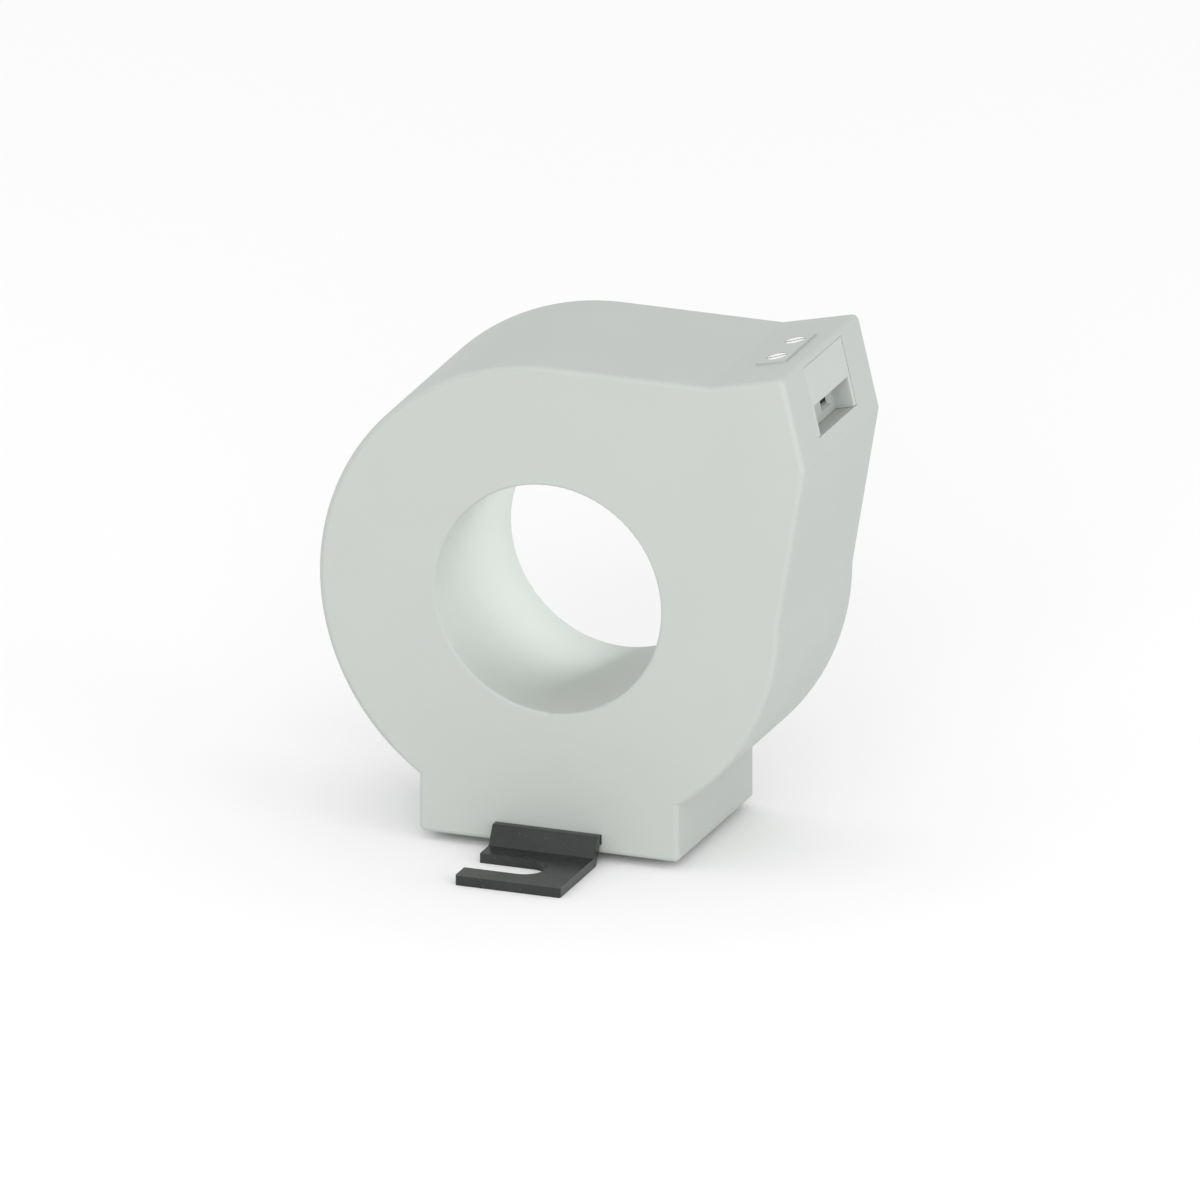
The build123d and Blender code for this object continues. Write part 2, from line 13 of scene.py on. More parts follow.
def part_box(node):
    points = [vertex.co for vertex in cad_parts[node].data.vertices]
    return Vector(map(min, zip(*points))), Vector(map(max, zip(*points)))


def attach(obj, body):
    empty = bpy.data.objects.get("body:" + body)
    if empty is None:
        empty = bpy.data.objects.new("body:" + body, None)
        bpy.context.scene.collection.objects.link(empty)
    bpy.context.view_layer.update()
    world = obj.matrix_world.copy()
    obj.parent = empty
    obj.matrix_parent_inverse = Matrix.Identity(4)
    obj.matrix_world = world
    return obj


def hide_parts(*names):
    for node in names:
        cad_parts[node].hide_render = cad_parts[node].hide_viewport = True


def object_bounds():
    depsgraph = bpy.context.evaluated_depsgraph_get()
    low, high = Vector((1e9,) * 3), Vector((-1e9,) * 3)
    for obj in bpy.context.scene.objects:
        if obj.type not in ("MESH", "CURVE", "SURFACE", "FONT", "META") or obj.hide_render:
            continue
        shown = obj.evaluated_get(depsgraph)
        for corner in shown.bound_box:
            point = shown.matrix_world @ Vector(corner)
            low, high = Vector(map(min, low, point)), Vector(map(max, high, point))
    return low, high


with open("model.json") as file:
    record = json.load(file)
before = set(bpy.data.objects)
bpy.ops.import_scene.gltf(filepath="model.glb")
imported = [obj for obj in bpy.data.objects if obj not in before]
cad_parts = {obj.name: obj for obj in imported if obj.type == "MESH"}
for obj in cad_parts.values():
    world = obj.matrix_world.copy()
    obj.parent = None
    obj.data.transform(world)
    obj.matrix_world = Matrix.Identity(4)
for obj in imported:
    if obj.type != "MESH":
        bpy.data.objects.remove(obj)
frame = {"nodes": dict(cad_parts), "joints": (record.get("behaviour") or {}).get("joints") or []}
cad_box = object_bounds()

log = logging.getLogger("current_transformer")

MM = 0.001
Colour = Tuple[float, float, float]
Place = Tuple[float, float, float]
Ring = Tuple[float, float, float]

# A Mix node's sockets for colours, which share their names with those for numbers
MIX_FIRST = 6
MIX_SECOND = 7
MIX_RESULT = 2


class Signal:
    """A number that changes over a surface: an output socket whose operators add Math nodes."""

    def __init__(self, graph: "Graph", socket: bpy.types.NodeSocket) -> None:
        """Wraps one output socket of a graph."""
        self.graph = graph
        self.socket = socket

    def __add__(self, other: Union["Signal", float]) -> "Signal":
        """This plus other."""
        return self.graph.maths("ADD", self, other)

    def __radd__(self, other: float) -> "Signal":
        """Other plus this."""
        return self.graph.maths("ADD", other, self)

    def __sub__(self, other: Union["Signal", float]) -> "Signal":
        """This minus other."""
        return self.graph.maths("SUBTRACT", self, other)

    def __rsub__(self, other: float) -> "Signal":
        """Other minus this."""
        return self.graph.maths("SUBTRACT", other, self)

    def __mul__(self, other: Union["Signal", float]) -> "Signal":
        """This times other."""
        return self.graph.maths("MULTIPLY", self, other)

    def __rmul__(self, other: float) -> "Signal":
        """Other times this."""
        return self.graph.maths("MULTIPLY", other, self)

    def __gt__(self, other: Union["Signal", float]) -> "Signal":
        """1 where this is greater than other, and else 0."""
        return self.graph.maths("GREATER_THAN", self, other)

    def __lt__(self, other: Union["Signal", float]) -> "Signal":
        """1 where this is less than other, and else 0."""
        return self.graph.maths("LESS_THAN", self, other)

    def __abs__(self) -> "Signal":
        """This without its sign."""
        return self.graph.maths("ABSOLUTE", self)

    def floor(self) -> "Signal":
        """The whole number at or below this."""
        return self.graph.maths("FLOOR", self)

    def fraction(self) -> "Signal":
        """What is left of this after the whole number at or below it is taken off."""
        return self.graph.maths("FRACT", self)

    def wave(self, length: float) -> "Signal":
        """A wave from 0 to 1 along this distance: half of its sine over the length, plus half."""
        return self.graph.maths("SINE", self * (2 * pi / length)) * 0.5 + 0.5

    def spread(self, amount: float) -> "Signal":
        """This, which lies between 0 and 1, as a change about nought that spans the amount."""
        return (self - 0.5) * amount

    def eased(self, low: float, high: float) -> "Signal":
        """0 below low and 1 above high, with a soft step between them.

        Args:
            low: Where the step starts.
            high: Where the step ends.

        Returns:
            The step, from 0 to 1.
        """
        return self.graph.node(
            "ShaderNodeMapRange",
            {"interpolation_type": "SMOOTHSTEP"},
            {"Value": self, "From Min": low, "From Max": high},
        )


class Graph:
    """The node graph of one material, with its shader and output in place."""

    def __init__(self, name: str) -> None:
        """Makes an empty material that has only a shader.

        Args:
            name: The material's name.
        """
        self.material = bpy.data.materials.new(name)
        self.material.use_nodes = True
        self.tree = self.material.node_tree
        self.tree.nodes.clear()
        self.shader = self.tree.nodes.new("ShaderNodeBsdfPrincipled")
        output = self.tree.nodes.new("ShaderNodeOutputMaterial")
        self.tree.links.new(self.shader.outputs["BSDF"], output.inputs["Surface"])

    def node(
        self,
        kind: str,
        settings: Optional[Dict[str, Any]] = None,
        sockets: Optional[Dict[Union[str, int], Any]] = None,
        output: Union[str, int] = 0,
    ) -> Signal:
        """Adds one node.

        Args:
            kind: The node's type.
            settings: Its properties, which are set first.
            sockets: Values or links of its input sockets, by name or by number.
            output: The output socket to hand back.

        Returns:
            That output socket.
        """
        made = self.tree.nodes.new(kind)
        for name, value in (settings or {}).items():
            setattr(made, name, value)
        for name, value in (sockets or {}).items():
            self.feed(made.inputs[name], value)
        return Signal(self, made.outputs[output])

    def feed(self, target: bpy.types.NodeSocket, value: Any) -> None:
        """Sets a socket to a value, or links it to a signal.

        Args:
            target: The input socket.
            value: A signal, or a value of the socket's own kind.
        """
        if isinstance(value, Signal):
            self.tree.links.new(value.socket, target)
        else:
            target.default_value = value

    def set(self, **values: Any) -> None:
        """Sets the shader's sockets, named with underscores in place of spaces."""
        for name, value in values.items():
            self.feed(self.shader.inputs[name.replace("_", " ")], value)

    def maths(self, operation: str, *values: Union[Signal, float]) -> Signal:
        """Adds one Math node.

        Args:
            operation: The node's operation.
            values: Its inputs, in order.

        Returns:
            Its result.
        """
        return self.node("ShaderNodeMath", {"operation": operation}, dict(enumerate(values)))

    def distance(self, first: Signal, second: Signal) -> Signal:
        """The distance over two legs at right angles: the root of the sum of their squares."""
        return self.maths("SQRT", first * first + second * second)

    def bearing(self, first: Signal, second: Signal) -> Signal:
        """The angle from the first direction towards the second, as a share of a whole turn."""
        return self.maths("ARCTAN2", second, first) * (1 / (2 * pi))

    def point(self, origin: Place = (0.0, 0.0, 0.0), turn: float = 0.0) -> Signal:
        """The place on the piece, in metres.

        Args:
            origin: The point that the place is counted from.
            turn: The angle in radians about the bore's direction by which the axes are tilted.

        Returns:
            The place as a vector.
        """
        place = self.node("ShaderNodeTexCoord", output="Object")
        settings = {"vector_type": "TEXTURE"}
        sockets = {"Vector": place, "Location": origin, "Rotation": (0.0, turn, 0.0)}
        return self.node("ShaderNodeMapping", settings, sockets)

    def parts(self, vector: Signal) -> Tuple[Signal, Signal, Signal]:
        """The X, Y and Z of a vector."""
        first = self.node("ShaderNodeSeparateXYZ", sockets={0: vector})
        return tuple(Signal(self, socket) for socket in first.socket.node.outputs)

    def noise(self, place: Signal, size: float, detail: float = 2.0) -> Signal:
        """Soft noise from 0 to 1 whose spots are about the given size in metres."""
        sockets = {"Vector": place, "Scale": 1 / size, "Detail": detail}
        return self.node("ShaderNodeTexNoise", sockets=sockets)

    def lines(self, place: Signal, width: float, drawn: Colour) -> Signal:
        """Noise that is drawn out to lines.

        Args:
            place: The place on the piece.
            width: The lines' width in metres.
            drawn: What each direction is multiplied by, less than 1 along the lines.

        Returns:
            The lines, from 0 to 1.
        """
        settings = {"operation": "MULTIPLY"}
        pressed = self.node("ShaderNodeVectorMath", settings, {0: place, 1: drawn})
        return self.noise(pressed, width)

    def cells(self, place: Signal, size: float) -> Signal:
        """The distance to the nearest of many scattered points, in cells of the given size."""
        sockets = {"Vector": place, "Scale": 1 / size}
        return self.node("ShaderNodeTexVoronoi", None, sockets, "Distance")

    def blend(self, factor: Signal, first: Any, second: Any) -> Signal:
        """Mixes two colours.

        Args:
            factor: How much of the second colour there is, from 0 to 1.
            first: A colour, or a signal that is one.
            second: The other colour, or a signal that is one.

        Returns:
            The mixed colour.
        """
        colours = [(*c, 1.0) if isinstance(c, tuple) else c for c in (first, second)]
        sockets = {"Factor": factor, MIX_FIRST: colours[0], MIX_SECOND: colours[1]}
        return self.node("ShaderNodeMix", {"data_type": "RGBA"}, sockets, MIX_RESULT)

    def relief(self, height: Signal, depth: float) -> Signal:
        """A normal from a height of 0 to 1 that stands for a depth in metres."""
        return self.node("ShaderNodeBump", None, {"Height": height, "Distance": depth})


@dataclass(frozen=True)
class Finish:
    """What every finish has: a name, two colours, and how a cloud of noise mixes them."""

    name: str
    colour: Colour
    shade: Colour
    thin: float = 0.3
    thick: float = 0.7

    def material(self) -> bpy.types.Material:
        """Makes the material and dresses it.

        Returns:
            The finished material.
        """
        graph = Graph(self.name)
        self.dress(graph)
        return graph.material

    def dress(self, graph: Graph) -> None:
        """Adds this finish's nodes to a graph."""
        raise NotImplementedError

    def clouded(self, graph: Graph, cloud: Signal) -> Signal:
        """The colour, which goes softly to the shade as the cloud goes from thin to thick."""
        return graph.blend(cloud.eased(self.thin, self.thick), self.colour, self.shade)


@dataclass(frozen=True)
class MouldedPlastic(Finish):
    """Moulded plastic: a finely eroded grain, slow waves of sink and a little unevenness of tone.

    The grain's height is coarse noise plus a share of finer noise.
    """

    roughness: float = 0.5
    refraction: float = 1.5
    grain: float = 0.35 * MM
    grain_depth: float = 0.008 * MM
    grain_gloss: float = 0.12
    fine_grain: float = 0.12 * MM
    fine_share: float = 0.5
    sink: float = 16.0 * MM
    sink_gloss: float = 0.06

    def dress(self, graph: Graph) -> None:
        """Adds the plastic's tone, grain and gloss.

        Args:
            graph: The new material\'s graph.
        """
        place = graph.point()
        coarse = graph.noise(place, self.grain, detail=3.0)
        fine = graph.noise(place, self.fine_grain)
        waves = graph.noise(place, self.sink, detail=3.0)
        gloss = coarse.spread(self.grain_gloss) + waves.spread(self.sink_gloss)
        graph.set(
            Base_Color=self.clouded(graph, waves),
            Roughness=self.roughness + gloss,
            IOR=self.refraction,
            Normal=graph.relief(coarse + fine * self.fine_share, self.grain_depth),
        )


@dataclass(frozen=True)
class PassivatedSheet(Finish):
    """Dark passivated steel sheet, with rolling lines along one direction and paler worn specks."""

    roughness: float = 0.24
    refraction: float = 1.42
    line: float = 0.12 * MM
    line_drawn: Colour = (0.05, 1.0, 1.0)
    line_depth: float = 0.006 * MM
    line_gloss: float = 0.16
    cloud: float = 5.0 * MM
    speck: float = 0.9 * MM
    speck_limits: Tuple[float, float] = (0.62, 0.74)
    speck_share: float = 0.5
    speck_gloss: float = 0.08
    worn: float = 1.5

    def dress(self, graph: Graph) -> None:
        """Adds the sheet's rolling lines, specks and gloss.

        Args:
            graph: The new material\'s graph.
        """
        place = graph.point()
        lines = graph.lines(place, self.line, self.line_drawn)
        specks = graph.noise(place, self.speck, detail=4.0).eased(*self.speck_limits)
        base = self.clouded(graph, graph.noise(place, self.cloud, detail=4.0))
        worn = tuple(self.worn * channel for channel in self.shade)
        graph.set(
            Base_Color=graph.blend(specks * self.speck_share, base, worn),
            Roughness=self.roughness + lines.spread(self.line_gloss) + specks * self.speck_gloss,
            IOR=self.refraction,
            Normal=graph.relief(lines, self.line_depth),
        )


@dataclass(frozen=True)
class TurnedPlating(Finish):
    """A plated screw: turning rings on its head and a thread on its shank.

    The rings are a wave along the distance from the axis. The thread's height falls evenly to
    the middle of a turn and rises again, where a turn is the depth below the ramp over the
    thread's pitch, less the angle about the axis. It starts where the depth is that of the head.
    """

    roughness: float = 0.28
    centre: Place = (0.0, 0.0, 0.0)
    tilt: float = 0.0
    ring: float = 0.11 * MM
    ring_depth: float = 0.0015 * MM
    ring_gloss: float = 0.05
    head_depth: float = 2.4 * MM
    pitch: float = 0.45 * MM
    thread_depth: float = 0.25 * MM
    cloud: float = 0.8 * MM
    cloud_gloss: float = 0.1

    def dress(self, graph: Graph) -> None:
        """Adds the plating's rings, thread, clouds and gloss.

        Args:
            graph: The new material\'s graph.
        """
        place = graph.point(self.centre, -self.tilt)
        across, along, up = graph.parts(place)
        rings = graph.distance(across, along).wave(self.ring)
        turn = (up * (-1 / self.pitch) - graph.bearing(across, along)).fraction()
        thread = abs(turn * 2.0 - 1.0)
        shank = up < -self.head_depth
        shallow = self.ring_depth / self.thread_depth
        height = thread * shank + rings * (1.0 - shank) * shallow
        cloud = graph.noise(place, self.cloud, detail=3.0)
        graph.set(
            Base_Color=self.clouded(graph, cloud),
            Roughness=self.roughness + cloud.spread(self.cloud_gloss) + rings * self.ring_gloss,
            Metallic=1.0,
            Normal=graph.relief(height, self.thread_depth),
        )


@dataclass(frozen=True)
class PlatedSheet(Finish):
    """Plated or tinned sheet metal with faint drawing lines and a clouded plating."""

    roughness: float = 0.35
    line: float = 0.1 * MM
    line_drawn: Colour = (1.0, 0.08, 1.0)
    line_depth: float = 0.003 * MM
    cloud: float = 1.2 * MM
    cloud_gloss: float = 0.15

    def dress(self, graph: Graph) -> None:
        """Adds the sheet's lines and clouds.

        Args:
            graph: The new material\'s graph.
        """
        place = graph.point()
        lines = graph.lines(place, self.line, self.line_drawn)
        cloud = graph.noise(place, self.cloud, detail=3.0)
        graph.set(
            Base_Color=self.clouded(graph, cloud),
            Roughness=self.roughness + cloud.spread(self.cloud_gloss),
            Metallic=1.0,
            Normal=graph.relief(lines, self.line_depth),
        )


@dataclass(frozen=True)
class BoardLaminate(Finish):
    """Circuit board: solder mask over a glass weave, with tinned rings round its holes.

    The weave's height is the mean of two waves at right angles. Each hole is given by its place
    along the bore, its height and its ring's radius, and its ring is where the distance from that
    place is less than the radius.
    """

    corner: Place = (0.0, 0.0, 0.0)
    tilt: float = 0.0
    holes: Tuple[Ring, ...] = ()
    thread: float = 0.5 * MM
    weave_depth: float = 0.01 * MM
    weave_gloss: float = 0.1
    roughness: float = 0.28
    solder: Colour = (0.78, 0.77, 0.74)

    def dress(self, graph: Graph) -> None:
        """Adds the weave, the solder rings and the mask's gloss.

        Args:
            graph: The new material\'s graph.
        """
        place = graph.point(self.corner, -self.tilt)
        _, along, up = graph.parts(place)
        weave = (along.wave(self.thread) + up.wave(self.thread)) * 0.5
        discs = [
            graph.distance(along - hole_y, up - hole_z) < radius
            for hole_y, hole_z, radius in self.holes
        ]
        rings = discs[0]
        for disc in discs[1:]:
            rings = graph.maths("MAXIMUM", rings, disc)
        mask = graph.blend(weave, self.colour, self.shade)
        graph.set(
            Base_Color=graph.blend(rings, mask, self.solder),
            Metallic=rings,
            Roughness=self.roughness + weave * self.weave_gloss,
            Normal=graph.relief(weave, self.weave_depth),
        )


@dataclass(frozen=True)
class DiodeBody(Finish):
    """A black moulded body between two tinned wires, with a pale band at one end of the body.

    The wires are what lies further along the bore from the body's middle than the half length,
    which reaches a hair past the end faces, so that those stay black.
    """

    centre_y: float = 0.0
    half_length: float = 2.62 * MM
    band: float = 0.9 * MM
    band_inset: float = 0.9 * MM
    print_colour: Colour = (0.6, 0.6, 0.6)
    tin: Colour = (0.72, 0.71, 0.68)
    roughness: float = 0.5
    wire_gloss: float = 0.2
    grain: float = 0.15 * MM
    grain_depth: float = 0.004 * MM
    grain_gloss: float = 0.1

    def dress(self, graph: Graph) -> None:
        """Adds the body, its band and the wires.

        Args:
            graph: The new material\'s graph.
        """
        place = graph.point()
        _, along, _ = graph.parts(place)
        offset = along - self.centre_y
        wire = abs(offset) > self.half_length
        band_end = self.half_length - self.band_inset
        band = (offset > band_end - self.band) * (offset < band_end)
        grain = graph.noise(place, self.grain)
        body = graph.blend(grain, self.colour, self.shade)
        banded = graph.blend(band, body, self.print_colour)
        graph.set(
            Base_Color=graph.blend(wire, banded, self.tin),
            Metallic=wire,
            Roughness=self.roughness - wire * self.wire_gloss + grain.spread(self.grain_gloss),
            Normal=graph.relief(grain, self.grain_depth),
        )


@dataclass(frozen=True)
class WoundStrip(Finish):
    """The edges of a strip wound to a ring: a wave along the distance from the bore's axis."""

    layer: float = 0.2 * MM
    layer_depth: float = 0.01 * MM
    layer_gloss: float = 0.12
    roughness: float = 0.38
    metal: float = 0.9
    cloud: float = 4.0 * MM

    def dress(self, graph: Graph) -> None:
        """Adds the strip's layers and their heat tint.

        Args:
            graph: The new material\'s graph.
        """
        place = graph.point()
        across, _, up = graph.parts(place)
        layers = graph.distance(across, up).wave(self.layer)
        graph.set(
            Base_Color=self.clouded(graph, graph.noise(place, self.cloud, detail=3.0)),
            Metallic=self.metal,
            Roughness=self.roughness + layers * self.layer_gloss,
            Normal=graph.relief(layers, self.layer_depth),
        )


@dataclass(frozen=True)
class TapeTurns(Finish):
    """Film tape wound round a ring in slanted, overlapping turns.

    A turn's height rises evenly over the turn and falls at its edge: the fraction of the number
    of turns times the share of the angle about the bore, plus a slant across the depth. The
    slant is how many turns the tape moves on over a metre.
    """

    turns: int = 46
    slant: float = 22.0
    overlap: float = 0.35
    edge_depth: float = 0.08 * MM
    wrinkle: float = 1.5 * MM
    wrinkle_share: float = 0.4
    wrinkle_gloss: float = 0.1
    roughness: float = 0.3
    coat: float = 0.3

    def dress(self, graph: Graph) -> None:
        """Adds the tape's overlaps, tone and gloss.

        Args:
            graph: The new material\'s graph.
        """
        place = graph.point()
        across, along, up = graph.parts(place)
        turn = (graph.bearing(across, up) * self.turns + along * self.slant).fraction()
        wrinkle = graph.noise(place, self.wrinkle, detail=3.0)
        graph.set(
            Base_Color=graph.blend(turn.eased(0.0, self.overlap), self.shade, self.colour),
            Roughness=self.roughness + wrinkle * self.wrinkle_gloss,
            Coat_Weight=self.coat,
            Normal=graph.relief(turn + wrinkle * self.wrinkle_share, self.edge_depth),
        )


@dataclass(frozen=True)
class Enamel(Finish):
    """Enamelled copper wire, with the tone of each turn a little different."""

    turns: int = 200
    turn_share: float = 0.6
    cloud: float = 2.5 * MM
    cloud_gloss: float = 0.1
    roughness: float = 0.3
    metal: float = 0.85
    coat: float = 0.8

    def dress(self, graph: Graph) -> None:
        """Adds the wire's tone and its clear coat.

        Args:
            graph: The new material\'s graph.
        """
        place = graph.point()
        across, _, up = graph.parts(place)
        turn = (graph.bearing(across, up) * self.turns).floor()
        tone = graph.node("ShaderNodeTexWhiteNoise", {"noise_dimensions": "1D"}, {"W": turn})
        cloud = graph.noise(place, self.cloud)
        mixed = tone * self.turn_share + cloud * (1 - self.turn_share)
        graph.set(
            Base_Color=graph.blend(mixed, self.colour, self.shade),
            Metallic=self.metal,
            Roughness=self.roughness + cloud * self.cloud_gloss,
            Coat_Weight=self.coat,
        )


@dataclass(frozen=True)
class CellFoam(Finish):
    """Closed-cell foam: a skin of small pits, with painted shade that makes them darker where they
    are deep.
    """

    cell: float = 0.45 * MM
    pit_limits: Tuple[float, float] = (0.1, 0.6)
    pit_depth: float = 0.12 * MM
    tone: float = 3.0 * MM
    tone_gloss: float = 0.1
    roughness: float = 0.85

    def dress(self, graph: Graph) -> None:
        """Adds the foam's pits, the painted shade in them, and gloss.

        Args:
            graph: The new material\'s graph.
        """
        place = graph.point()
        pits = graph.cells(place, self.cell)
        tone = graph.noise(place, self.tone, detail=3.0)
        graph.set(
            # The pits' centres get the shade colour: painted shade in the pits.
            Base_Color=graph.blend(pits.eased(*self.pit_limits), self.shade, self.colour),
            Roughness=self.roughness + tone.spread(self.tone_gloss),
            Normal=graph.relief(pits, self.pit_depth),
        )


@dataclass(frozen=True)
class WireInsulation(Finish):
    """Smooth flexible insulation with faint drawing lines, stripped at the lead's outer end.

    The end is bare where the reach out of the terminal's face, x cos t + z sin t with the tilt
    t, is more than that of the board's inner side less the bare length.
    """

    tilt: float = 0.0
    bare_from: float = 1.0
    tin: Colour = (0.74, 0.72, 0.67)
    line: float = 0.12 * MM
    line_drawn: Colour = (0.1, 1.0, 1.0)
    line_depth: float = 0.004 * MM
    line_gloss: float = 0.1
    tone: float = 1.5 * MM
    roughness: float = 0.42
    bare_gloss: float = 0.12

    def dress(self, graph: Graph) -> None:
        """Adds the insulation's tone and lines, and the bare end.

        Args:
            graph: The new material\'s graph.
        """
        place = graph.point()
        across, _, up = graph.parts(place)
        bare = (across * cos(self.tilt) + up * sin(self.tilt)) > self.bare_from
        lines = graph.lines(place, self.line, self.line_drawn)
        sleeve = graph.blend(graph.noise(place, self.tone), self.colour, self.shade)
        graph.set(
            Base_Color=graph.blend(bare, sleeve, self.tin),
            Metallic=bare,
            Roughness=self.roughness + lines.spread(self.line_gloss) - bare * self.bare_gloss,
            Normal=graph.relief(lines, self.line_depth),
        )


class End(Enum):
    """How a grid of points ends in one direction."""

    OPEN = 0
    JOINED = 1


def grid_faces(rows: int, columns: int, across: End, along: End) -> np.ndarray:
    """The four-cornered faces of a grid whose points are numbered row by row.

    Args:
        rows: How many rows of points the grid has.
        columns: How many points each row has.
        across: Whether the last row joins the first.
        along: Whether each row's last point joins its first.

    Returns:
        An array of faces, four point numbers each.
    """
    row = np.arange(rows if across is End.JOINED else rows - 1)[:, None]
    column = np.arange(columns if along is End.JOINED else columns - 1)[None, :]
    next_row = (row + 1) % rows
    next_column = (column + 1) % columns
    corners = [
        row * columns + column,
        row * columns + next_column,
        next_row * columns + next_column,
        next_row * columns + column,
    ]
    return np.stack(corners, axis=-1).reshape(-1, 4)


def node_points(node: bpy.types.Object) -> np.ndarray:
    """Reads the points of a node's mesh.

    Args:
        node: The node.

    Returns:
        Its points in metres, one row each.
    """
    flat = np.empty(len(node.data.vertices) * 3)
    node.data.vertices.foreach_get("co", flat)
    return flat.reshape(-1, 3)


def ring_radii(points: np.ndarray) -> Tuple[float, float]:
    """The smallest and the largest distance of the points from the bore's axis."""
    distance = np.hypot(points[:, 0], points[:, 2])
    return float(distance.min()), float(distance.max())


def turned(section: np.ndarray, angle: np.ndarray) -> np.ndarray:
    """Turns sections about the bore: a point (r, y) at the angle a goes to (r cos a, y, r sin a).

    Args:
        section: One section for each angle, each a row of points of radius and depth.
        angle: The angles, in radians.

    Returns:
        The points, one row each, section by section.
    """
    radius = section[:, :, 0]
    depth = section[:, :, 1]
    across = radius * np.cos(angle)[:, None]
    up = radius * np.sin(angle)[:, None]
    return np.stack([across, depth, up], axis=-1).reshape(-1, 3)


def terminal_tilt(joint: Dict[str, Any]) -> float:
    """The angle of the terminal's axes about the bore's direction, from a screw's joint."""
    axis = joint["axis"]
    return atan2(axis[0], -axis[2])


def mesh_piece(name: str, points: np.ndarray, faces: np.ndarray) -> bpy.types.Object:
    """A smooth-shaded piece at the origin.

    Args:
        name: The piece's name.
        points: Its points in metres, one row each.
        faces: Its faces, four point numbers each, counter-clockwise from outside.

    Returns:
        The piece, linked to the scene.
    """
    mesh = bpy.data.meshes.new(name)
    mesh.from_pydata(points.tolist(), [], faces.tolist())
    mesh.polygons.foreach_set("use_smooth", np.ones(len(faces), dtype=bool))
    mesh.update()
    piece = bpy.data.objects.new(name, mesh)
    bpy.context.scene.collection.objects.link(piece)
    return piece


@dataclass
class SubAssembly:
    """A group of nodes that share their finishes, with what all such groups do."""

    nodes: Dict[str, bpy.types.Object]

    def finishes(self) -> Dict[str, Finish]:
        """The finish of each node, by the node's name."""
        raise NotImplementedError

    def build(self) -> Dict[str, bpy.types.Object]:
        """Makes this group's own pieces, by the node they replace, which most don't have."""
        return {}

    def dress(self, pieces: Dict[str, bpy.types.Object]) -> None:
        """Gives each node, and the piece that replaces it, its finish and reports it.

        Args:
            pieces: This group's own pieces, by the name of the node that each replaces.
        """
        made: Dict[str, bpy.types.Material] = {}
        for name, finish in self.finishes().items():
            if finish.name not in made:
                made[finish.name] = finish.material()
            mesh = self.nodes[name].data
            mesh.materials.clear()
            mesh.materials.append(made[finish.name])
            if name in pieces:
                pieces[name].data.materials.append(made[finish.name])
            log.info("%s: %s", name, finish.name)


@dataclass
class Casing(SubAssembly):
    """The moulded housing with its rear cover."""

    colour: Colour = (0.452, 0.478, 0.455)
    shade: Colour = (0.446, 0.472, 0.449)
    cover_roughness: float = 0.46

    def finishes(self) -> Dict[str, Finish]:
        """Both mouldings have the same grain; the cover's is a shade smoother.

        Returns:
            Each finish, by the name of its node.
        """
        return {
            "housing_shell": MouldedPlastic("housing_plastic", self.colour, self.shade),
            "rear_cover": MouldedPlastic(
                "cover_plastic", self.colour, self.shade, roughness=self.cover_roughness
            ),
        }


@dataclass
class Terminal(SubAssembly):
    """The terminal block with its screws, cages and bars, placed by the screws' joints."""

    joints: Sequence[Dict[str, Any]]
    plastic: Colour = (0.47, 0.496, 0.473)
    plastic_shade: Colour = (0.464, 0.49, 0.467)
    plastic_roughness: float = 0.42
    nickel: Colour = (0.97, 0.97, 0.96)
    nickel_shade: Colour = (0.92, 0.92, 0.91)
    zinc: Colour = (0.66, 0.67, 0.67)
    zinc_shade: Colour = (0.58, 0.6, 0.62)
    tin: Colour = (0.78, 0.77, 0.73)
    tin_shade: Colour = (0.7, 0.68, 0.62)

    def finishes(self) -> Dict[str, Finish]:
        """The block's plastic, and each pole's screw, cage and bar.

        Returns:
            Each finish, by the name of its node.
        """
        block = MouldedPlastic(
            "terminal_plastic", self.plastic, self.plastic_shade, roughness=self.plastic_roughness
        )
        chosen: Dict[str, Finish] = {"terminal_block": block}
        turning = [joint for joint in self.joints if joint["type"] == "hinge"]
        for number, joint in enumerate(turning, start=1):
            chosen[f"terminal_screw_{number}"] = TurnedPlating(
                f"screw_nickel_{number}",
                self.nickel,
                self.nickel_shade,
                centre=tuple(joint["pos_m"]),
                tilt=terminal_tilt(joint),
            )
            chosen[f"clamp_cage_{number}"] = PlatedSheet("cage_zinc", self.zinc, self.zinc_shade)
            chosen[f"current_bar_{number}"] = PlatedSheet("bar_tin", self.tin, self.tin_shade)
        return chosen


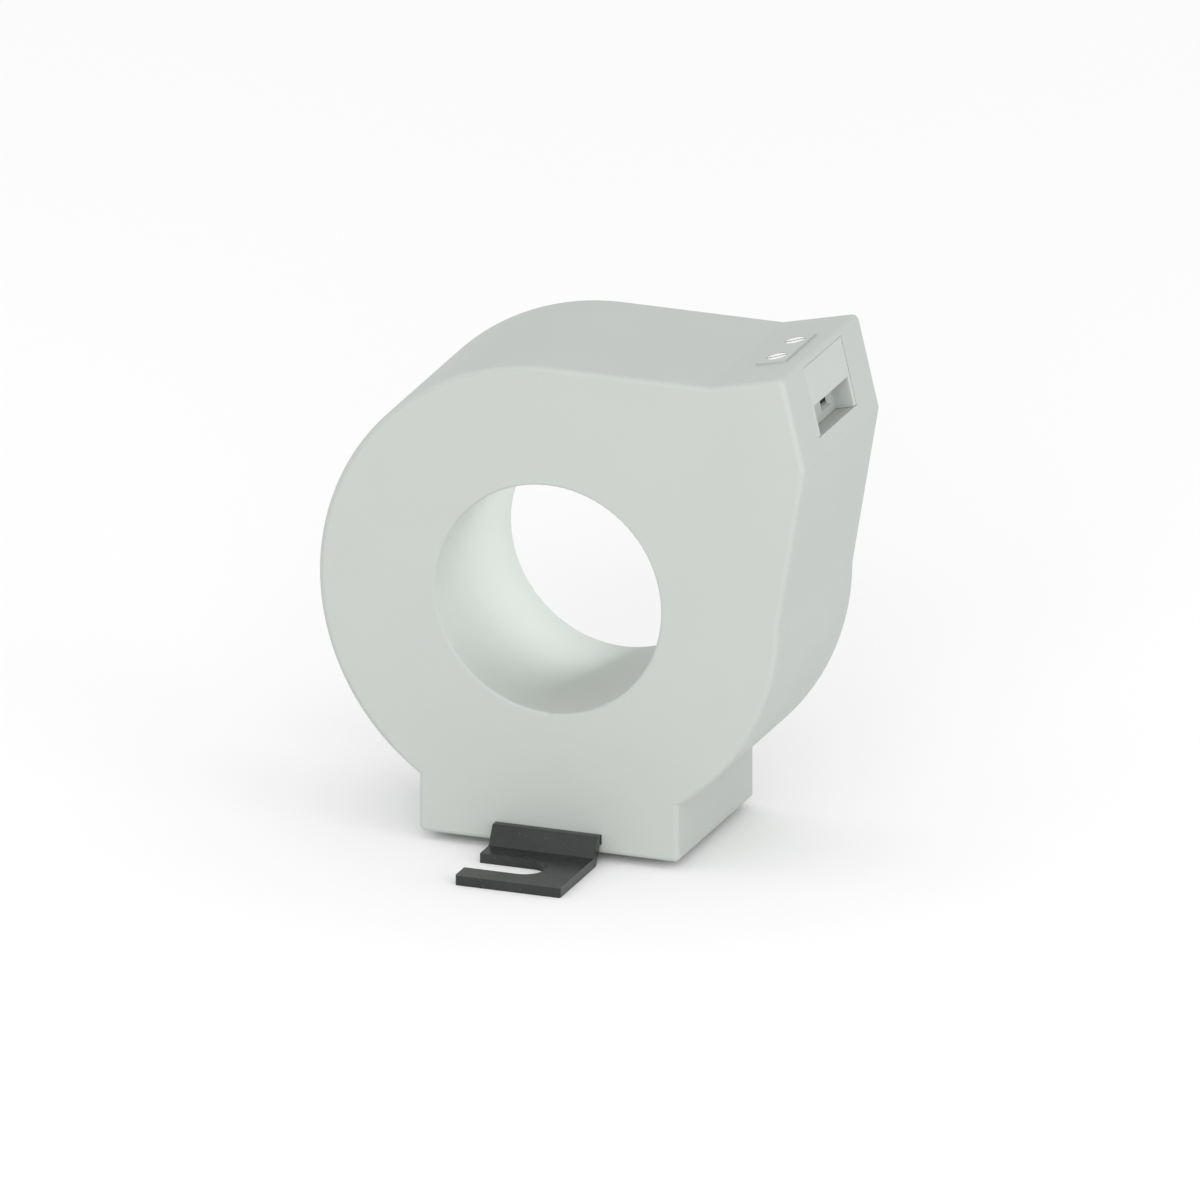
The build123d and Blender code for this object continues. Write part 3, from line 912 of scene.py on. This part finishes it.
@dataclass
class Board(SubAssembly):
    """The circuit board with its diodes, and the leads that come from the winding."""

    joints: Sequence[Dict[str, Any]]
    mask: Colour = (0.015, 0.14, 0.05)
    mask_shade: Colour = (0.02, 0.17, 0.065)
    black: Colour = (0.012, 0.012, 0.013)
    black_shade: Colour = (0.02, 0.02, 0.021)
    red: Colour = (0.4, 0.03, 0.02)
    red_shade: Colour = (0.46, 0.045, 0.03)
    pin_ring: float = 1.1 * MM
    wire_ring: float = 0.75 * MM
    end_depth: float = 0.05 * MM
    bare_length: float = 0.6 * MM

    def ends(self, name: str, outwards: np.ndarray) -> List[np.ndarray]:
        """The middles of the ends with which a piece stands in the board.

        An end's points are those that reach furthest in the given direction. Points on either
        side of their middle along the bore, with a ring's width or more between them, are two ends.

        Args:
            name: The piece's node.
            outwards: The direction in which its ends point.

        Returns:
            One point for each end.
        """
        points = node_points(self.nodes[name])
        reach = points @ outwards
        tips = points[reach > reach.max() - self.end_depth]
        low, high = tips[:, 1].min(), tips[:, 1].max()
        if high - low < 2 * self.pin_ring:
            groups = [tips]
        else:
            near = tips[:, 1] < (low + high) / 2
            groups = [tips[near], tips[~near]]
        return [(group.min(axis=0) + group.max(axis=0)) / 2 for group in groups]

    def hole_places(self, corner: Place, tilt: float) -> Tuple[Ring, ...]:
        """Where the solder rings are: round the bars' pins, the leads and the diodes' wires.

        Args:
            corner: The origin of the board's own axes.
            tilt: The angle of the board's axes about the bore's direction.

        Returns:
            Each ring's place along the bore, its height on the board and its radius.
        """
        outwards = np.array((cos(tilt), 0.0, sin(tilt)))
        upwards = np.array((-sin(tilt), 0.0, cos(tilt)))
        rings: List[Ring] = []
        for number in (1, 2):
            for name, direction, radius in (
                (f"current_bar_{number}", -outwards, self.pin_ring),
                (f"lead_wire_{number}", outwards, self.pin_ring),
                (f"suppressor_diode_{number}", outwards, self.wire_ring),
            ):
                for end in self.ends(name, direction):
                    height = float((end - np.array(corner)) @ upwards)
                    rings.append((float(end[1]), height, radius))
        return tuple(rings)

    def finishes(self) -> Dict[str, Finish]:
        """The board, the diodes and the leads.

        Returns:
            Each finish, by the name of its node.
        """
        joint = self.joints[0]
        tilt = terminal_tilt(joint)
        corner = (joint["pos_m"][0], 0.0, joint["pos_m"][2])
        board = node_points(self.nodes["circuit_board"])
        inner_side = float((board @ np.array((cos(tilt), 0.0, sin(tilt)))).min())
        chosen: Dict[str, Finish] = {
            "circuit_board": BoardLaminate(
                "board_laminate",
                self.mask,
                self.mask_shade,
                corner=corner,
                tilt=tilt,
                holes=self.hole_places(corner, tilt),
            )
        }
        for number in (1, 2):
            low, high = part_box(f"suppressor_diode_{number}")
            chosen[f"suppressor_diode_{number}"] = DiodeBody(
                f"diode_body_{number}",
                self.black,
                self.black_shade,
                centre_y=(low.y + high.y) / 2,
            )
            chosen[f"lead_wire_{number}"] = WireInsulation(
                "lead_insulation",
                self.red,
                self.red_shade,
                tilt=tilt,
                bare_from=inner_side - self.bare_length,
            )
        return chosen


@dataclass
class Coil(SubAssembly):
    """The core in its case, the winding and its tape, the screen and the cushions."""

    turns: int = 200
    ridge_steps: int = 6
    corner_round: float = 1.0 * MM
    corner_steps: int = 7
    ripple: float = 0.12 * MM
    foam: Colour = (0.05, 0.05, 0.054)
    # The darker foam colour is painted shade, laid into the foam's pits.
    foam_painted_pit_shade: Colour = (0.025, 0.025, 0.028)
    case: Colour = (0.022, 0.022, 0.025)
    case_shade: Colour = (0.03, 0.03, 0.033)
    case_roughness: float = 0.55
    strip: Colour = (0.34, 0.35, 0.38)
    strip_shade: Colour = (0.42, 0.4, 0.38)
    copper: Colour = (0.5, 0.14, 0.05)
    copper_shade: Colour = (0.62, 0.22, 0.08)
    film: Colour = (0.62, 0.42, 0.06)
    film_shade: Colour = (0.42, 0.27, 0.03)
    screen: Colour = (0.5, 0.51, 0.53)
    screen_shade: Colour = (0.44, 0.45, 0.47)

    def finishes(self) -> Dict[str, Finish]:
        """The finish of each ring.

        Returns:
            Each finish, by the name of its node.
        """
        foam = CellFoam("cushion_foam", self.foam, self.foam_painted_pit_shade)
        case = MouldedPlastic(
            "case_plastic", self.case, self.case_shade, roughness=self.case_roughness
        )
        return {
            "toroidal_core": WoundStrip("core_strip", self.strip, self.strip_shade),
            "core_case_base": case,
            "core_case_lid": case,
            "secondary_winding": Enamel(
                "winding_enamel", self.copper, self.copper_shade, turns=self.turns
            ),
            "winding_wrap": TapeTurns("wrap_film", self.film, self.film_shade),
            "shield_ring": PlatedSheet("shield_sheet", self.screen, self.screen_shade),
            "front_cushion": foam,
            "rear_cushion": foam,
        }

    def section(
        self, inner: float, outer: float, low: float, high: float, around: float
    ) -> np.ndarray:
        """A rounded rectangle round the coil's section, as points of radius and depth.

        Each corner is a quarter circle about its own centre: centre + round (cos a, sin a).

        Args:
            inner: The smallest radius.
            outer: The largest radius.
            low: The smallest depth.
            high: The largest depth.
            around: The corners' radius.

        Returns:
            The points in turn, each a radius and a depth.
        """
        quarter = np.linspace(0.0, pi / 2, self.corner_steps if around > 0 else 1)
        centres = [
            (outer - around, high - around, 0.0),
            (inner + around, high - around, pi / 2),
            (inner + around, low + around, pi),
            (outer - around, low + around, 3 * pi / 2),
        ]
        arcs = [
            np.stack([r + around * np.cos(quarter + a), y + around * np.sin(quarter + a)], axis=1)
            for r, y, a in centres
        ]
        return np.concatenate(arcs)

    def build(self) -> Dict[str, bpy.types.Object]:
        """Replaces the plain winding by its turns of wire.

        A point of the outer surface is the section's point drawn in, against the section's own
        outward direction, by ripple (1 - |sin(turns a / 2)|), turned by the angle a about the
        bore. The inner surface is the case's section, turned the same way and facing inwards.

        Returns:
            The new piece, by the name of the node that it replaces.
        """
        winding = node_points(self.nodes["secondary_winding"])
        base = node_points(self.nodes["core_case_base"])
        lid = node_points(self.nodes["core_case_lid"])
        inner, outer = ring_radii(winding)
        case_inner, case_outer = ring_radii(base)
        outline = self.section(
            inner, outer, winding[:, 1].min(), winding[:, 1].max(), self.corner_round
        )
        hollow = self.section(case_inner, case_outer, base[:, 1].min(), lid[:, 1].max(), 0.0)
        steps = self.turns * self.ridge_steps
        angle = np.arange(steps) * (2 * pi / steps)
        step = np.roll(outline, -1, axis=0) - np.roll(outline, 1, axis=0)
        outward = np.stack([step[:, 1], -step[:, 0]], axis=1)
        outward /= np.linalg.norm(outward, axis=1, keepdims=True)
        dip = self.ripple * (1.0 - np.abs(np.sin(angle * self.turns / 2)))
        rippled = outline[None, :, :] - dip[:, None, None] * outward[None, :, :]
        still = np.repeat(hollow[None, :, :], steps, axis=0)
        outer_points = turned(rippled, angle)
        inner_points = turned(still, angle)
        outer_faces = grid_faces(steps, len(outline), End.JOINED, End.JOINED)
        inner_faces = grid_faces(steps, len(hollow), End.JOINED, End.JOINED)
        piece = mesh_piece(
            "winding_turns",
            np.concatenate([outer_points, inner_points]),
            np.concatenate([outer_faces, inner_faces[:, ::-1] + len(outer_points)]),
        )
        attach(piece, "housing")
        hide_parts("secondary_winding")
        log.info("winding_turns: %d turns", self.turns)
        return {"secondary_winding": piece}


@dataclass
class Feet(SubAssembly):
    """The two folded brackets."""

    dark: Colour = (0.022, 0.025, 0.023)
    shade: Colour = (0.028, 0.031, 0.029)

    def finishes(self) -> Dict[str, Finish]:
        """The same dark finish on both brackets.

        Returns:
            Each finish, by the name of its node.
        """
        sheet = PassivatedSheet("bracket_passivated", self.dark, self.shade)
        return {"front_bracket": sheet, "rear_bracket": sheet}


@dataclass(frozen=True)
class Lamp:
    """A soft rectangular light: where it stands, what it points at, its size and its power."""

    name: str
    place: Place
    aim: Place
    size: float
    power: float


@dataclass
class Studio:
    """Floor, surrounding light, lamps and camera."""

    floor_height: float
    yaw: float = radians(20.76)
    pitch: float = radians(19.52)
    roll: float = radians(-0.06)
    frame_width: float = 174.85 * MM
    target_right: float = 2.01 * MM
    target_down: float = 4.99 * MM
    distance: float = 0.6
    clip: Tuple[float, float] = (0.01, 20.0)
    surround: float = 1.0
    lamps: Tuple[Lamp, ...] = (
        Lamp("front_lamp", (0.35, -1.4, 0.6), (0.0, 0.0, 0.0), 1.0, 8.0),
        Lamp("side_lamp", (0.6, -0.22, 0.12), (0.0, 0.0, 0.0), 0.35, 0.55),
        Lamp("window_lamp", (0.0065, 0.0062, -0.0047), (-0.0113, 0.0107, 0.0032), 0.0085, 0.0053),
    )
    floor_pale: Colour = (0.89, 0.89, 0.89)
    floor_paler: Colour = (0.91, 0.91, 0.91)
    floor_cloud: float = 0.4
    floor_roughness: float = 0.9
    floor_reach: float = 6.0

    def add_floor(self) -> None:
        """A wide pale floor under the brackets."""
        ends = np.array([-self.floor_reach, self.floor_reach])
        across, along = np.meshgrid(ends, ends)
        points = np.stack([across, along, np.full_like(across, self.floor_height)], axis=-1)
        faces = grid_faces(len(ends), len(ends), End.OPEN, End.OPEN)
        floor = mesh_piece("floor", points.reshape(-1, 3), faces)
        graph = Graph("floor_paint")
        tone = graph.noise(graph.point(), self.floor_cloud)
        graph.set(
            Base_Color=graph.blend(tone, self.floor_pale, self.floor_paler),
            Roughness=self.floor_roughness,
            Specular_IOR_Level=0.0,
        )
        floor.data.materials.append(graph.material)

    def add_light(self) -> None:
        """An even pale surround and the lamps."""
        world = bpy.data.worlds.new("surround")
        world.use_nodes = True
        background = world.node_tree.nodes["Background"]
        background.inputs["Color"].default_value = (1.0, 1.0, 1.0, 1.0)
        background.inputs["Strength"].default_value = self.surround
        bpy.context.scene.world = world
        for lamp in self.lamps:
            data = bpy.data.lights.new(lamp.name, "AREA")
            data.size = lamp.size
            data.energy = lamp.power
            made = bpy.data.objects.new(lamp.name, data)
            made.location = lamp.place
            aim = Vector(lamp.aim) - Vector(lamp.place)
            made.rotation_euler = aim.to_track_quat("-Z", "Y").to_euler()
            made.visible_camera = False
            bpy.context.scene.collection.objects.link(made)

    def add_camera(self) -> None:
        """The camera, with parallel rays at the photograph's angle."""
        data = bpy.data.cameras.new("camera")
        data.type = "ORTHO"
        data.ortho_scale = self.frame_width
        data.clip_start, data.clip_end = self.clip
        camera = bpy.data.objects.new("camera", data)
        forward = Vector(
            (
                -sin(self.yaw) * cos(self.pitch),
                cos(self.yaw) * cos(self.pitch),
                -sin(self.pitch),
            )
        )
        right = Vector((cos(self.yaw), sin(self.yaw), 0.0))
        down = forward.cross(right)
        target = right * self.target_right + down * self.target_down
        turned_right = right * cos(self.roll) - down * sin(self.roll)
        turned_down = down * cos(self.roll) + right * sin(self.roll)
        place = target - forward * self.distance
        columns = Matrix((turned_right, -turned_down, -forward)).transposed()
        camera.matrix_world = Matrix.Translation(place) @ columns.to_4x4()
        bpy.context.scene.collection.objects.link(camera)
        bpy.context.scene.camera = camera

    def build(self) -> None:
        """Sets up the whole studio."""
        bpy.context.scene.view_settings.view_transform = "Standard"
        self.add_floor()
        self.add_light()
        self.add_camera()


def main() -> None:
    """Builds and dresses each sub-assembly, then the studio."""
    logging.basicConfig(level=logging.INFO, format="%(message)s")
    nodes = frame["nodes"]
    joints = frame["joints"]
    groups: List[SubAssembly] = [
        Casing(nodes),
        Terminal(nodes, joints),
        Board(nodes, joints),
        Coil(nodes),
        Feet(nodes),
    ]
    for group in groups:
        group.dress(group.build())
    low, _ = cad_box
    Studio(low.z).build()


if __name__ == "__main__":
    main()
